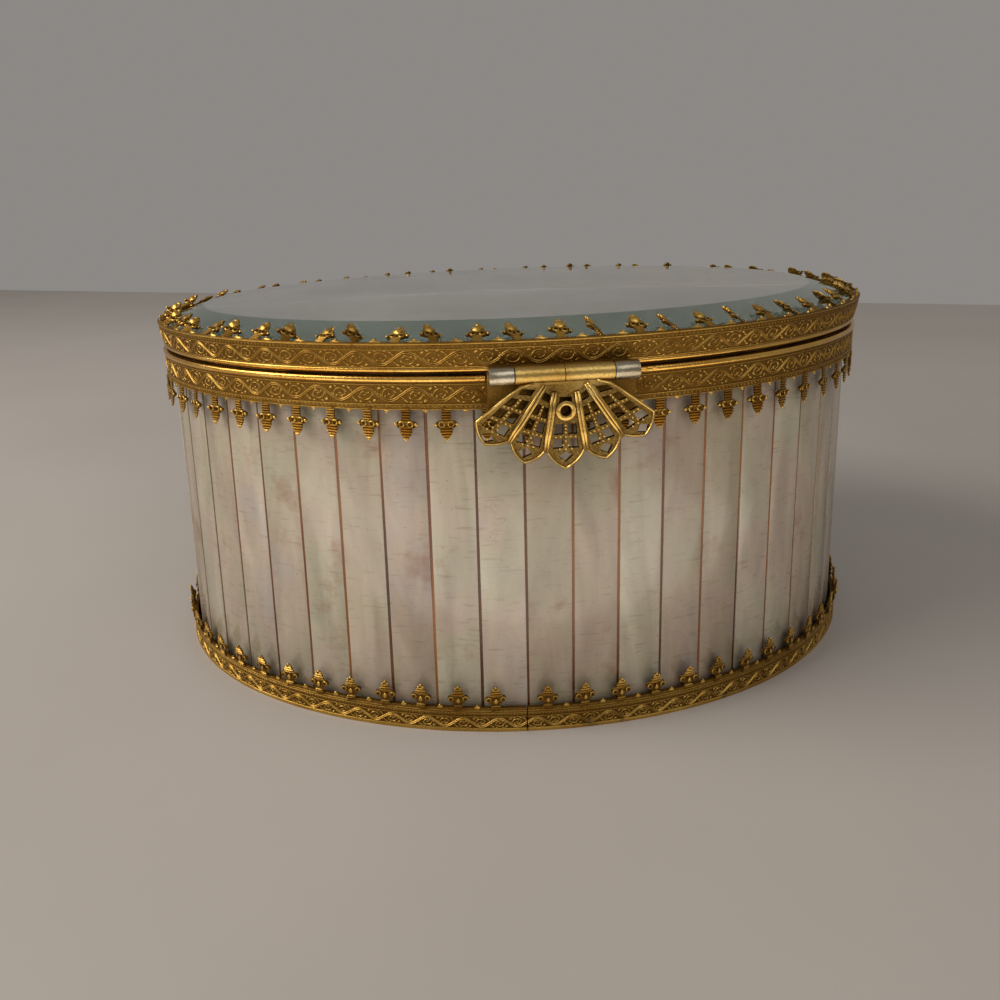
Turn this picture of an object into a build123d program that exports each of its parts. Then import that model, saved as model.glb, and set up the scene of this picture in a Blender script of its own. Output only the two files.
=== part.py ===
from build123d import *
import math
import os

# An oval jewelry box. Its wall is a ring of upright mother-of-pearl strips, held between
# stamped gilt bands outside and plain hoops inside. A heavy bevelled glass lid opens on a
# barrel hinge at the back, and a pierced fan hasp hangs from the lid at the front.
# X runs along the oval, the front is at -Y, Z is up, and the underside lies at Z = 0.

os.makedirs("parts", exist_ok=True)

# Box, measured over the border of the upper band
box_length = 130.0
box_width = 100.0
mouth_height = 56.5

# Wall of pearl strips
strip_count = 50
strip_thickness = 1.3
strip_gap = 0.35
first_seam = 1.9
cement_recess = 0.15
cement_depth = 1.0

# Gilt bands
band_clearance = 0.4
upper_band_thickness = 0.9
upper_band_height = 4.9
upper_border_height = 0.9
relief_depth = 0.15
lower_band_thickness = 0.65
lower_band_height = 4.0
lower_border_height = 0.55
seam_width = 0.25
mouth_wire_height = 0.85
mouth_wire_projection = 0.2
wire_bevel = 0.25

# Fleurs of the gallery strip, each a flat tongue with a stem, two arms and a pointed head
fleur_thickness = 0.4
fleur_root = 0.9
fleur_stem_width = 1.4
fleur_stem_length = 1.9
fleur_arm_width = 3.5
fleur_arm_height = 2.4
fleur_head_width = 2.2
fleur_head_height = 3.1
fleur_length = 4.6
upper_fleur_count = 62
lower_fleur_count = 62
crest_fleur_count = 62
fleur_before_seam = 4.8
fleur_after_seam = 3.2
lower_seam = -5.6

# Hoops and floor inside the wall
hoop_thickness = 0.5
hoop_height = 5.0
hoop_clearance = 0.05
flange_thickness = 0.4
cover_thickness = 0.5
board_thickness = 2.5
pad_clearance = 0.3
pad_edge_height = 3.0
pad_crown = 1.6
pad_crown_inset = 9.0
pad_shoulder_rise = 0.75
pad_shoulder_inset = 0.33

# Lid
lid_gap = 0.6
lid_band_thickness = 0.9
lid_band_height = 4.4
lid_set_in = 0.2
lid_flare = 0.9
lid_wire_height = 0.65
lid_wire_projection = 0.15
crest_sink = 0.4
crest_gap = 0.05
glass_clearance = 0.2
glass_edge_height = 1.9
bevel_width = 6.8
bevel_drop = 2.25
seat_thickness = 0.8
seat_clearance = 0.05
seat_gap = 0.1

# Barrels of the hasp and of the lid hinge
barrel_radius = 1.36
pin_radius = 0.55
pin_clearance = 0.05
barrel_rise = 0.25
barrel_stand_off = 0.2
knuckle_gap = 0.12
swing_clearance = 0.15
tongue_thickness = 0.4
tongue_gap = 0.05

# Hasp at the front
hasp_tube_length = 6.95
hasp_tube_seam = 0.12
end_knuckle_length = 3.5
plate_thickness = 0.55
plate_drop = 1.2
plate_top_gap = 0.3
solder_gap = 0.02
fan_thickness = 0.7
fan_forward = 0.35
fan_relief = 0.25
fan_rib_width = 0.38
fan_rib_gap = 0.14
socket_drop = 5.1
socket_radius = 1.1
socket_bore_radius = 0.8
socket_fit = 0.02
socket_flange_radius = 1.4
socket_flange_thickness = 0.3
stud_radius = 0.7
stud_height = 0.3
stud_gap = 0.1

# Lid hinge at the back
hinge_knuckle_length = 8.0
leaf_thickness = 0.55
base_leaf_height = 4.2
lid_leaf_height = 3.4

# An oval's line starts at +X, so the middle of the front lies three quarters of the way round
front_share = 0.75

half_length = box_length / 2
half_width = box_width / 2


def oval(inset):
    """Both radii of an oval that lies this far inside the box's own."""
    return half_length - inset, half_width - inset


def oval_ring(outer_inset, inner_inset):
    """A flat ring between two ovals, in the sketch that is open."""
    Ellipse(*oval(outer_inset))
    Ellipse(*oval(inner_inset), mode=Mode.SUBTRACT)


def oval_line(inset, height):
    """The oval itself, as one closed edge that starts at +X and runs counterclockwise."""
    return Edge.make_ellipse(*oval(inset), plane=Plane.XY.offset(height))


def wall_plane(inset, height, distance, upside_down=False):
    """A plane that faces outwards, this far along the oval from the middle of the front."""
    line = oval_line(inset, height)
    share = (front_share + distance / line.length) % 1
    along = line % share
    outward = along.cross(Vector(0, 0, 1))
    return Plane(origin=line @ share, x_dir=-along if upside_down else along, z_dir=outward)


def finish(piece, name):
    """Label a finished piece and write it as one STEP file."""
    piece.part.label = name
    export_step(piece.part, f"parts/{name}.step")


# Insets of each surface from the box's own oval
band_inner = upper_band_thickness
strip_outer = band_inner + band_clearance
strip_inner = strip_outer + strip_thickness
lower_band_outer = band_inner - lower_band_thickness
strip_pitch = oval_line(strip_outer, 0).length / strip_count
tightest_radius = (half_width - strip_outer) ** 2 / (half_length - strip_outer)
strip_sag = strip_pitch**2 / (8 * tightest_radius)
hoop_outer = strip_inner + strip_sag + hoop_clearance
hoop_inner = hoop_outer + hoop_thickness

# Heights of the base, from the underside up
strip_bottom = cover_thickness
strip_top = mouth_height - flange_thickness
board_top = cover_thickness + board_thickness
upper_band_bottom = mouth_height - upper_band_height
upper_band_top = mouth_height - mouth_wire_height

# Heights of the lid
lid_bottom = mouth_height + lid_gap
lid_top = lid_bottom + lid_band_height


def lid_inset(height):
    """Inset of the flared lid band's outer face at this height."""
    return lid_set_in - lid_flare * (height - lid_bottom) / lid_band_height


bevel_angle = math.degrees(math.atan2(bevel_drop, bevel_width))
crest_height = lid_top - crest_sink
crest_inset = lid_inset(crest_height) + lid_band_thickness / 2
crest_lift = (fleur_thickness / 2 + crest_gap) / math.cos(math.radians(bevel_angle))
glass_inset = lid_inset(lid_bottom + lid_band_height / 2) + lid_band_thickness + glass_clearance
glass_run = glass_inset - crest_inset
glass_edge_top = crest_height + glass_run * bevel_drop / bevel_width - crest_lift
glass_bottom = glass_edge_top - glass_edge_height
seat_outer = lid_set_in + lid_band_thickness + seat_clearance
seat_bottom = mouth_height + seat_gap
seat_top = glass_bottom - crest_gap

# Barrel axes, both along X
axis_height = mouth_height + barrel_rise
hasp_axis_y = -(half_width + barrel_stand_off + barrel_radius)
hinge_axis_y = -hasp_axis_y
bore_radius = pin_radius + pin_clearance
hasp_reach = hasp_tube_length + knuckle_gap
barrel_reach = hasp_reach + end_knuckle_length
hinge_reach = hinge_knuckle_length * 1.5 + knuckle_gap

# Plates on the upper band, and the plane of the fan
plate_face = half_width + solder_gap + plate_thickness
plate_bottom = upper_band_bottom - plate_drop
plate_top = mouth_height - plate_top_gap
leaf_face = half_width + solder_gap + leaf_thickness
fan_back = fan_forward - hasp_axis_y
socket_height = axis_height - socket_drop
fan_plane = Plane(origin=(0, -fan_back, socket_height), x_dir=(1, 0, 0), z_dir=(0, -1, 0))


def fleur_outline(root):
    """One fleur, in the sketch that is open: its root below the origin, its tip towards +Y."""
    half = [
        (fleur_stem_width / 2, -root),
        (fleur_stem_width / 2, fleur_stem_length),
        (fleur_arm_width / 2, fleur_arm_height),
        (fleur_head_width / 2, fleur_head_height),
    ]
    other_half = [(-x, y) for x, y in reversed(half)]
    Polygon(*half, (0, fleur_length), *other_half, align=None)


def seamed_stations(count, inset, seam):
    """Distances of the fleurs along a strip at this inset, whose two ends meet at a seam."""
    run = oval_line(inset, 0).length - fleur_before_seam - fleur_after_seam
    return [seam + fleur_after_seam + run * i / (count - 1) for i in range(count)]


# The pearl strips are flat slips with mitred edges. They stand side by side round the oval.
def strip_corners(index):
    """Plan of one strip: two corners on the outer oval and two behind them."""
    start = first_seam + index * strip_pitch + strip_gap / 2
    ends = (start, start + strip_pitch - strip_gap)
    planes = [wall_plane(strip_outer, 0, end) for end in ends]
    outer = [plane.origin for plane in planes]
    inner = [plane.origin - plane.z_dir * strip_thickness for plane in reversed(planes)]
    return [(point.X, point.Y) for point in outer + inner]


def side_of(corners):
    """Which side of the oval a strip stands on."""
    x = sum(corner[0] for corner in corners) / half_length
    y = sum(corner[1] for corner in corners) / half_width
    if abs(x) < abs(y):
        return "front" if y < 0 else "back"
    return "left" if x < 0 else "right"


strip_plans = [strip_corners(index) for index in range(strip_count)]
for side in ("front", "back", "left", "right"):
    with BuildPart() as strips:
        with BuildSketch(Plane.XY.offset(strip_bottom)):
            for corners in strip_plans:
                if side_of(corners) == side:
                    Polygon(*corners, align=None)
        extrude(amount=strip_top - strip_bottom)
    finish(strips, f"pearl_strips_{side}")

# Amber cement fills the seams, a little below the face of the strips.
with BuildPart() as seam_cement:
    with BuildSketch(Plane.XY.offset(strip_bottom)):
        for index in range(strip_count):
            middle = first_seam + index * strip_pitch
            sides = [wall_plane(strip_outer, 0, middle + half * strip_gap / 2) for half in (-1, 1)]
            outer = [plane.origin - plane.z_dir * cement_recess for plane in sides]
            inner = [plane.origin - plane.z_dir * cement_depth for plane in reversed(sides)]
            Polygon(*[(point.X, point.Y) for point in outer + inner], align=None)
    extrude(amount=strip_top - strip_bottom)
finish(seam_cement, "seam_cement")

# Upper band: a stamped strip with a proud border of dentils, and fleurs that hang from it
upper_fleur_inset = relief_depth + fleur_thickness / 2
upper_stations = seamed_stations(upper_fleur_count, upper_fleur_inset, 0)
with BuildPart() as upper_band:
    with BuildSketch(Plane.XY.offset(upper_band_bottom)):
        oval_ring(0, band_inner)
    extrude(amount=upper_border_height)
    with BuildSketch(Plane.XY.offset(upper_band_bottom + upper_border_height)):
        oval_ring(relief_depth, band_inner)
    extrude(amount=upper_band_top - upper_band_bottom - upper_border_height)
    with BuildSketch(
        *[wall_plane(upper_fleur_inset, upper_band_bottom, s, upside_down=True) for s in upper_stations]
    ):
        fleur_outline(fleur_root)
    extrude(amount=fleur_thickness / 2, both=True)
finish(upper_band, "upper_band")

# Lower band: the same strip the other way up, with an open seam near the middle of the front
lower_fleur_inset = lower_band_outer + fleur_thickness / 2
lower_stations = seamed_stations(lower_fleur_count, lower_fleur_inset, lower_seam)
with BuildPart() as lower_band:
    with BuildSketch(Plane.XY):
        oval_ring(lower_band_outer - relief_depth, band_inner)
    extrude(amount=lower_border_height)
    with BuildSketch(Plane.XY.offset(lower_border_height)):
        oval_ring(lower_band_outer, band_inner)
    extrude(amount=lower_band_height - lower_border_height)
    with BuildSketch(*[wall_plane(lower_fleur_inset, lower_band_height, s) for s in lower_stations]):
        fleur_outline(fleur_root)
    extrude(amount=fleur_thickness / 2, both=True)
    with BuildSketch(wall_plane(lower_fleur_inset, lower_band_height / 2, lower_seam)):
        Rectangle(seam_width, 2 * lower_band_height)
    extrude(amount=2 * lower_band_thickness, both=True, mode=Mode.SUBTRACT)
finish(lower_band, "lower_band")

# Mouth wire: a smooth moulding on top of the upper band, cut away where the hasp and hinge sit
with BuildPart() as mouth_wire:
    with BuildSketch(Plane.XY.offset(upper_band_top)):
        oval_ring(-mouth_wire_projection, band_inner)
    extrude(amount=mouth_wire_height)
    top_edges = mouth_wire.edges().filter_by(GeomType.ELLIPSE).group_by(Axis.Z)[-1]
    chamfer(top_edges.sort_by(SortBy.LENGTH)[-1], wire_bevel)
    for reach, axis_y in ((barrel_reach, hasp_axis_y), (hinge_reach, hinge_axis_y)):
        with BuildSketch(Plane.XY.offset(upper_band_top)):
            with Locations((0, axis_y)):
                Rectangle(2 * (reach + swing_clearance), half_width / 2)
        extrude(amount=mouth_wire_height, mode=Mode.SUBTRACT)
finish(mouth_wire, "mouth_wire")

# Mouth ring: an angle ring that caps the strips and holds their upper ends from inside
with BuildPart() as mouth_ring:
    with BuildSketch(Plane.XY.offset(strip_top)):
        Ellipse(*oval(band_inner + solder_gap))
    extrude(amount=flange_thickness)
    with BuildSketch(Plane.XY.offset(strip_top - hoop_height)):
        Ellipse(*oval(hoop_outer))
    extrude(amount=hoop_height)
    with BuildSketch(Plane.XY.offset(mouth_height)):
        Ellipse(*oval(hoop_inner))
    extrude(amount=-(hoop_height + flange_thickness), mode=Mode.SUBTRACT)
finish(mouth_ring, "mouth_ring")

# Foot hoop: a plain hoop on the board, which holds the lower ends of the strips
with BuildPart() as foot_hoop:
    with BuildSketch(Plane.XY.offset(board_top)):
        oval_ring(hoop_outer, hoop_inner)
    extrude(amount=hoop_height)
finish(foot_hoop, "foot_hoop")

with BuildPart() as bottom_board:
    with BuildSketch(Plane.XY.offset(cover_thickness)):
        Ellipse(*oval(hoop_outer))
    extrude(amount=board_thickness)
finish(bottom_board, "bottom_board")

with BuildPart() as underside_cover:
    with BuildSketch(Plane.XY):
        Ellipse(*oval(band_inner + solder_gap))
    extrude(amount=cover_thickness)
finish(underside_cover, "underside_cover")

# Floor pad: cloth over wadding, with upright edges and a low crown
with BuildPart() as floor_pad:
    with BuildSketch(Plane.XY.offset(board_top)):
        Ellipse(*oval(hoop_inner + pad_clearance))
    extrude(amount=pad_edge_height)
    with BuildSketch(Plane.XY.offset(board_top + pad_edge_height)):
        Ellipse(*oval(hoop_inner + pad_clearance))
    with BuildSketch(Plane.XY.offset(board_top + pad_edge_height + pad_shoulder_rise * pad_crown)):
        Ellipse(*oval(hoop_inner + pad_clearance + pad_shoulder_inset * pad_crown_inset))
    with BuildSketch(Plane.XY.offset(board_top + pad_edge_height + pad_crown)):
        Ellipse(*oval(hoop_inner + pad_clearance + pad_crown_inset))
    loft(ruled=True)
finish(floor_pad, "floor_pad")

# Lid band: flared towards the top, with a crest of fleurs bent in over the bevel of the glass.
# One fleur stands at the middle of the front, and the band's seam lies between two fleurs.
crest_line = oval_line(crest_inset, crest_height)
crest_pitch = crest_line.length / crest_fleur_count
lid_seam = -1.5 * crest_pitch


def crest_plane(distance):
    """The wall's plane leaned inwards, so that a fleur on it follows the bevel."""
    upright = wall_plane(crest_inset, crest_height, distance)
    lean = math.radians(bevel_angle)
    normal = upright.z_dir * math.sin(lean) + upright.y_dir * math.cos(lean)
    return Plane(origin=upright.origin, x_dir=upright.x_dir, z_dir=normal)


with BuildPart() as lid_band:
    with BuildSketch(Plane.XY.offset(lid_bottom)):
        Ellipse(*oval(lid_inset(lid_bottom)))
    with BuildSketch(Plane.XY.offset(lid_top)):
        Ellipse(*oval(lid_inset(lid_top)))
    loft()
    with BuildSketch(Plane.XY.offset(lid_bottom)):
        Ellipse(*oval(lid_inset(lid_bottom) + lid_band_thickness))
    with BuildSketch(Plane.XY.offset(lid_top)):
        Ellipse(*oval(lid_inset(lid_top) + lid_band_thickness))
    loft(mode=Mode.SUBTRACT)
    with BuildSketch(*[crest_plane(i * crest_pitch) for i in range(crest_fleur_count)]):
        with Locations((0, lid_band_thickness / 2)):
            fleur_outline(lid_band_thickness / 2)
    extrude(amount=fleur_thickness / 2, both=True)
    with BuildSketch(wall_plane(lid_set_in + lid_band_thickness / 2, lid_bottom, lid_seam)):
        Rectangle(seam_width / 2, 2 * crest_sink)
    extrude(amount=lid_band_thickness, both=True, mode=Mode.SUBTRACT)
finish(lid_band, "lid_band")

# Glass: an upright edge, a wide polished bevel and a flat top
with BuildPart() as lid_glass:
    with BuildSketch(Plane.XY.offset(glass_bottom)):
        Ellipse(*oval(glass_inset))
    extrude(amount=glass_edge_height)
    with BuildSketch(Plane.XY.offset(glass_edge_top)):
        Ellipse(*oval(glass_inset))
    with BuildSketch(Plane.XY.offset(glass_edge_top + bevel_drop)):
        Ellipse(*oval(glass_inset + bevel_width))
    loft()
finish(lid_glass, "lid_glass")

# Glass seat: a plain strip soldered inside the lid band, on whose top edge the glass lies
with BuildPart() as glass_seat:
    with BuildSketch(Plane.XY.offset(seat_bottom)):
        oval_ring(seat_outer, seat_outer + seat_thickness)
    extrude(amount=seat_top - seat_bottom)
finish(glass_seat, "glass_seat")

# Lid wire: a smooth moulding round the foot of the lid band, cut away where the barrels sit
lid_wire_inner = lid_inset(lid_bottom + lid_wire_height) - solder_gap
with BuildPart() as lid_wire:
    with BuildSketch(Plane.XY.offset(lid_bottom)):
        oval_ring(lid_wire_inner - lid_wire_projection, lid_wire_inner)
    extrude(amount=lid_wire_height)
    with BuildSketch(Plane.YZ.offset(-barrel_reach - swing_clearance)):
        with Locations((hasp_axis_y, axis_height)):
            Circle(barrel_radius + swing_clearance)
    extrude(amount=2 * (barrel_reach + swing_clearance), mode=Mode.SUBTRACT)
    with BuildSketch(Plane.XY.offset(lid_bottom)):
        with Locations((0, hinge_axis_y)):
            Rectangle(2 * (hinge_reach + swing_clearance), half_width / 2)
    extrude(amount=lid_wire_height, mode=Mode.SUBTRACT)
finish(lid_wire, "lid_wire")

# Catch plate: a plain plate soldered over the front of the upper band, behind the hasp
with BuildPart() as catch_plate:
    with BuildSketch(Plane.XY.offset(plate_bottom)):
        with Locations((0, -plate_face / 2)):
            Rectangle(2 * barrel_reach, plate_face)
        Ellipse(*oval(-solder_gap), mode=Mode.SUBTRACT)
    extrude(amount=plate_top - plate_bottom)
    with BuildSketch(Plane.YZ.offset(-barrel_reach)):
        with Locations((hasp_axis_y, axis_height)):
            Circle(barrel_radius + swing_clearance)
    extrude(amount=2 * barrel_reach, mode=Mode.SUBTRACT)
finish(catch_plate, "catch_plate")

# Catch stud: a low round stud, soldered to the catch plate behind the hasp's socket
with BuildPart() as catch_stud:
    with BuildSketch(fan_plane.offset(plate_face - fan_back)):
        Circle(stud_radius)
    extrude(amount=stud_height)
finish(catch_stud, "catch_stud")

# Fan of the hasp, drawn from the front with its socket at the origin. Five lobes hang between
# four double ribs, and each lobe ends in a pointed arch.
fan_top_middle = (0, 4.1)
fan_top_corner = (4.5, 4.1)
fan_shoulder = (6.3, 3.8)
fan_side_tip = (12.7, -0.95)
outer_lobe_tip = (11.5, -4.3)
outer_notch = (7.9, -3.9)
middle_lobe_tip = (6.0, -7.35)
inner_notch = (2.82, -5.55)
centre_lobe_tip = (0, -8.55)
outer_rib_top = (2.95, 3.6)
inner_rib_top = (1.6, 2.5)
fan_right_half = [
    (fan_side_tip, outer_lobe_tip, 0.35),
    (outer_lobe_tip, outer_notch, 0.3),
    (outer_notch, middle_lobe_tip, 0.45),
    (middle_lobe_tip, inner_notch, 0.45),
    (inner_notch, centre_lobe_tip, 0.45),
]


def mirrored(point):
    """The same point on the fan's left half."""
    return (-point[0], point[1])


def between(start, end, share):
    """A point part of the way from one point to another."""
    return tuple(a + (b - a) * share for a, b in zip(start, end))


# Each lobe lies between two lines, given here from top to bottom
lobes = {
    "centre": ((mirrored(inner_rib_top), mirrored(inner_notch)), (inner_rib_top, inner_notch)),
    "middle": ((inner_rib_top, inner_notch), (outer_rib_top, outer_notch)),
    "outer": ((outer_rib_top, outer_notch), (fan_shoulder, fan_side_tip)),
}

# Piercings of a lobe: shares of its width from the middle line, and of its length from the top
top_cell = [(-0.5, 0.07), (0.5, 0.07), (0.5, 0.2), (-0.5, 0.2)]
pair_rows = [(0.29, 0.47), (0.55, 0.74), (0.82, 0.99)]
pair_inner_share = 0.14
pair_outer_share = 0.66
tip_cell = [(0, 1.04), (0.34, 1.13), (0, 1.24), (-0.34, 1.13)]


def lobe_cells(name):
    """Outlines of one lobe's piercings, in the fan's plane."""
    left, right = lobes[name]
    cells = [top_cell, tip_cell]
    for low, high in pair_rows[1:] if name == "centre" else pair_rows:
        for side in (-1, 1):
            inner, outer = side * pair_inner_share, side * pair_outer_share
            cells.append([(inner, low), (outer, low), (outer, high), (inner, high)])
    for cell in cells:
        yield [between(between(*left, v), between(*right, v), (1 + u) / 2) for u, v in cell]


def rib_bars():
    """Outlines of the four double ribs, each as two narrow bars side by side."""
    for top, bottom in ((inner_rib_top, inner_notch), (outer_rib_top, outer_notch)):
        run = Vector(*bottom) - Vector(*top)
        across = run.normalized().rotate(Axis.Z, 90)
        for side in (-1, 1):
            near = across * (side * fan_rib_gap / 2)
            far = across * (side * (fan_rib_gap / 2 + fan_rib_width))
            ends = (Vector(*top), Vector(*bottom))
            bar = [ends[0] + near, ends[1] + near, ends[1] + far, ends[0] + far]
            points = [(point.X, point.Y) for point in bar]
            yield points
            yield [mirrored(point) for point in points]


# Fan hasp: the pierced fan, cast in one piece with the two tubes that it swings on
with BuildPart() as fan_hasp:
    with BuildSketch(fan_plane):
        with BuildLine():
            Polyline(fan_top_middle, fan_top_corner, fan_shoulder, fan_side_tip)
            for start, end, bulge in fan_right_half:
                SagittaArc(start, end, bulge)
            mirror(about=Plane.YZ)
        make_face()
        for name in lobes:
            for cell in lobe_cells(name):
                Polygon(*cell, align=None, mode=Mode.SUBTRACT)
                if name != "centre":
                    Polygon(*[mirrored(point) for point in cell], align=None, mode=Mode.SUBTRACT)
        Circle(socket_radius + socket_fit, mode=Mode.SUBTRACT)
    extrude(amount=fan_thickness)
    with BuildSketch(fan_plane.offset(fan_thickness)):
        for bar in rib_bars():
            Polygon(*bar, align=None)
    extrude(amount=fan_relief)
    for x_low, x_high in ((-hasp_tube_length, -hasp_tube_seam / 2), (hasp_tube_seam / 2, hasp_tube_length)):
        with BuildSketch(Plane.YZ.offset(x_low)):
            with Locations((hasp_axis_y, axis_height)):
                Circle(barrel_radius)
        extrude(amount=x_high - x_low)
    with BuildSketch(Plane.YZ.offset(-hasp_tube_length)):
        with Locations((hasp_axis_y, axis_height)):
            Circle(bore_radius)
    extrude(amount=2 * hasp_tube_length, mode=Mode.SUBTRACT)
finish(fan_hasp, "fan_hasp")

# Hasp socket: a flanged tube through the fan, whose open end drops over the catch stud
with BuildPart() as hasp_socket:
    with BuildSketch(fan_plane.offset(fan_thickness)):
        Circle(socket_flange_radius)
    extrude(amount=socket_flange_thickness)
    with BuildSketch(fan_plane.offset(fan_thickness)):
        Circle(socket_radius)
    extrude(amount=-(fan_thickness + fan_back - plate_face - stud_height - stud_gap))
    with BuildSketch(fan_plane.offset(fan_thickness + socket_flange_thickness)):
        Circle(socket_bore_radius)
    extrude(amount=-2 * fan_back, mode=Mode.SUBTRACT)
finish(hasp_socket, "hasp_socket")

# End knuckles of the hasp: short tubes, each soldered under the lid band by its tongue
tongue_end = -hasp_axis_y - (barrel_radius + bore_radius) / 2
for name, side in (("hasp_knuckle_left", -1), ("hasp_knuckle_right", 1)):
    middle = side * (hasp_reach + barrel_reach) / 2
    with BuildPart() as knuckle:
        with BuildSketch(Plane.YZ.offset(middle)):
            with Locations((hasp_axis_y, axis_height)):
                Circle(barrel_radius)
        extrude(amount=end_knuckle_length / 2, both=True)
        with BuildSketch(Plane.XY.offset(lid_bottom - tongue_thickness)):
            with Locations((middle, -tongue_end / 2)):
                Rectangle(end_knuckle_length, tongue_end)
            Ellipse(*oval(seat_outer - tongue_gap), mode=Mode.SUBTRACT)
        extrude(amount=tongue_thickness)
        with BuildSketch(Plane.YZ.offset(middle)):
            with Locations((hasp_axis_y, axis_height)):
                Circle(bore_radius)
        extrude(amount=end_knuckle_length, both=True, mode=Mode.SUBTRACT)
    finish(knuckle, name)

# Lid hinge at the back: the base leaf carries the outer knuckles, the lid leaf the middle one
outer_knuckle_start = hinge_knuckle_length / 2 + knuckle_gap
outer_knuckles = ((-hinge_reach, -outer_knuckle_start), (outer_knuckle_start, hinge_reach))
with BuildPart() as hinge_base_leaf:
    with BuildSketch(Plane.XY.offset(mouth_height - base_leaf_height)):
        with Locations((0, leaf_face / 2)):
            Rectangle(2 * hinge_reach, leaf_face)
        Ellipse(*oval(-solder_gap), mode=Mode.SUBTRACT)
    extrude(amount=base_leaf_height - plate_top_gap)
    with BuildSketch(Plane.YZ.offset(-outer_knuckle_start)):
        with Locations((hinge_axis_y, axis_height)):
            Circle(barrel_radius + swing_clearance)
    extrude(amount=2 * outer_knuckle_start, mode=Mode.SUBTRACT)
    for x_low, x_high in outer_knuckles:
        with BuildSketch(Plane.YZ.offset(x_low)):
            with Locations((hinge_axis_y, axis_height)):
                Circle(barrel_radius)
        extrude(amount=x_high - x_low)
    with BuildSketch(Plane.YZ.offset(-hinge_reach)):
        with Locations((hinge_axis_y, axis_height)):
            Circle(bore_radius)
    extrude(amount=2 * hinge_reach, mode=Mode.SUBTRACT)
finish(hinge_base_leaf, "hinge_base_leaf")

with BuildPart() as hinge_lid_leaf:
    for height in (lid_bottom, lid_bottom + lid_leaf_height):
        leaf_reach = leaf_face + lid_set_in - lid_inset(height)
        with BuildSketch(Plane.XY.offset(height)):
            with Locations((0, leaf_reach / 2)):
                Rectangle(2 * hinge_reach, leaf_reach)
            Ellipse(*oval(lid_inset(height) - solder_gap), mode=Mode.SUBTRACT)
    loft(ruled=True)
    for x_low, x_high in outer_knuckles:
        with BuildSketch(Plane.YZ.offset(x_low - knuckle_gap)):
            with Locations((hinge_axis_y, axis_height)):
                Circle(barrel_radius + swing_clearance)
        extrude(amount=x_high - x_low + 2 * knuckle_gap, mode=Mode.SUBTRACT)
    with BuildSketch(Plane.YZ):
        with Locations((hinge_axis_y, axis_height)):
            Circle(barrel_radius)
    extrude(amount=hinge_knuckle_length / 2, both=True)
    with BuildSketch(Plane.YZ):
        with Locations((hinge_axis_y, axis_height)):
            Circle(bore_radius)
    extrude(amount=hinge_knuckle_length / 2, both=True, mode=Mode.SUBTRACT)
finish(hinge_lid_leaf, "hinge_lid_leaf")

# Pins of both barrels
for name, reach, axis_y in (
    ("hasp_pin", barrel_reach, hasp_axis_y),
    ("hinge_pin", hinge_reach, hinge_axis_y),
):
    with BuildPart() as pin:
        with BuildSketch(Plane.YZ.offset(-reach)):
            with Locations((axis_y, axis_height)):
                Circle(pin_radius)
        extrude(amount=2 * reach)
    finish(pin, name)
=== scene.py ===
import math
import random

import bpy
from mathutils import Matrix, Vector


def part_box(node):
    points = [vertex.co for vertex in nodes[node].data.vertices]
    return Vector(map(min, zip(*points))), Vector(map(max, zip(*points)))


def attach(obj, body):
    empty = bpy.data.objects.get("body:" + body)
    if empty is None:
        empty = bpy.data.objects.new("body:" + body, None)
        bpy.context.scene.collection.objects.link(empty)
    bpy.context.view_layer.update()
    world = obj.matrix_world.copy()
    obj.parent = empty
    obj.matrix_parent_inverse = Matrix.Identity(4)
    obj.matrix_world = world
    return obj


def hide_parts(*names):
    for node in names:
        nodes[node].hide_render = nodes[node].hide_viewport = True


# An oval jewelry box of mother-of-pearl strips between stamped gilt bands, with a bevelled
# glass lid. Sizes are in millimetres times mm, and the front is at -Y.
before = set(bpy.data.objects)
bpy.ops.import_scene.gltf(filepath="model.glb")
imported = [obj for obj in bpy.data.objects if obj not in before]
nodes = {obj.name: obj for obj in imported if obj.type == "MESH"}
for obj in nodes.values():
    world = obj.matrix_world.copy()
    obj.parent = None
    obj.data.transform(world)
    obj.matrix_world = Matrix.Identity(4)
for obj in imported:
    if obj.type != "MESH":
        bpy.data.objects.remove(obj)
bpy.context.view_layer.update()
mm = 0.001
bpy.ops.object.select_all(action="DESELECT")


# ---- Underside cover and bottom board ----
# The cover is thin dark book cloth, glued under a fruitwood board that stiffens the base.
# Neither shows from above.


def colour(code):
    """An sRGB hex code as linear red, green, blue and alpha."""
    parts = [int(code[i : i + 2], 16) / 255 for i in (1, 3, 5)]
    return [c / 12.92 if c <= 0.04045 else ((c + 0.055) / 1.055) ** 2.4 for c in parts] + [1]


def add(tree, kind, sockets=None, stops=(), **settings):
    """Adds one node. Each socket named gets a link or a value, and a colour ramp its stops."""
    node = tree.nodes.new(kind)
    for name, value in settings.items():
        setattr(node, name, value)
    for name, value in (sockets or {}).items():
        if isinstance(value, bpy.types.NodeSocket):
            tree.links.new(value, node.inputs[name])
        else:
            node.inputs[name].default_value = value
    for number, (position, code) in enumerate(stops):
        ramp = node.color_ramp.elements
        stop = ramp[number] if number < 2 else ramp.new(position)
        stop.position = position
        stop.color = colour(code)
    return node


def material_tree(name):
    """A new material and its empty node tree."""
    material = bpy.data.materials.new(name)
    material.use_nodes = True
    material.node_tree.nodes.clear()
    return material, material.node_tree


def dress(material, *names):
    """Gives CAD nodes or new pieces their material."""
    for name in names:
        bpy.data.objects[name].data.materials.clear()
        bpy.data.objects[name].data.materials.append(material)


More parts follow.
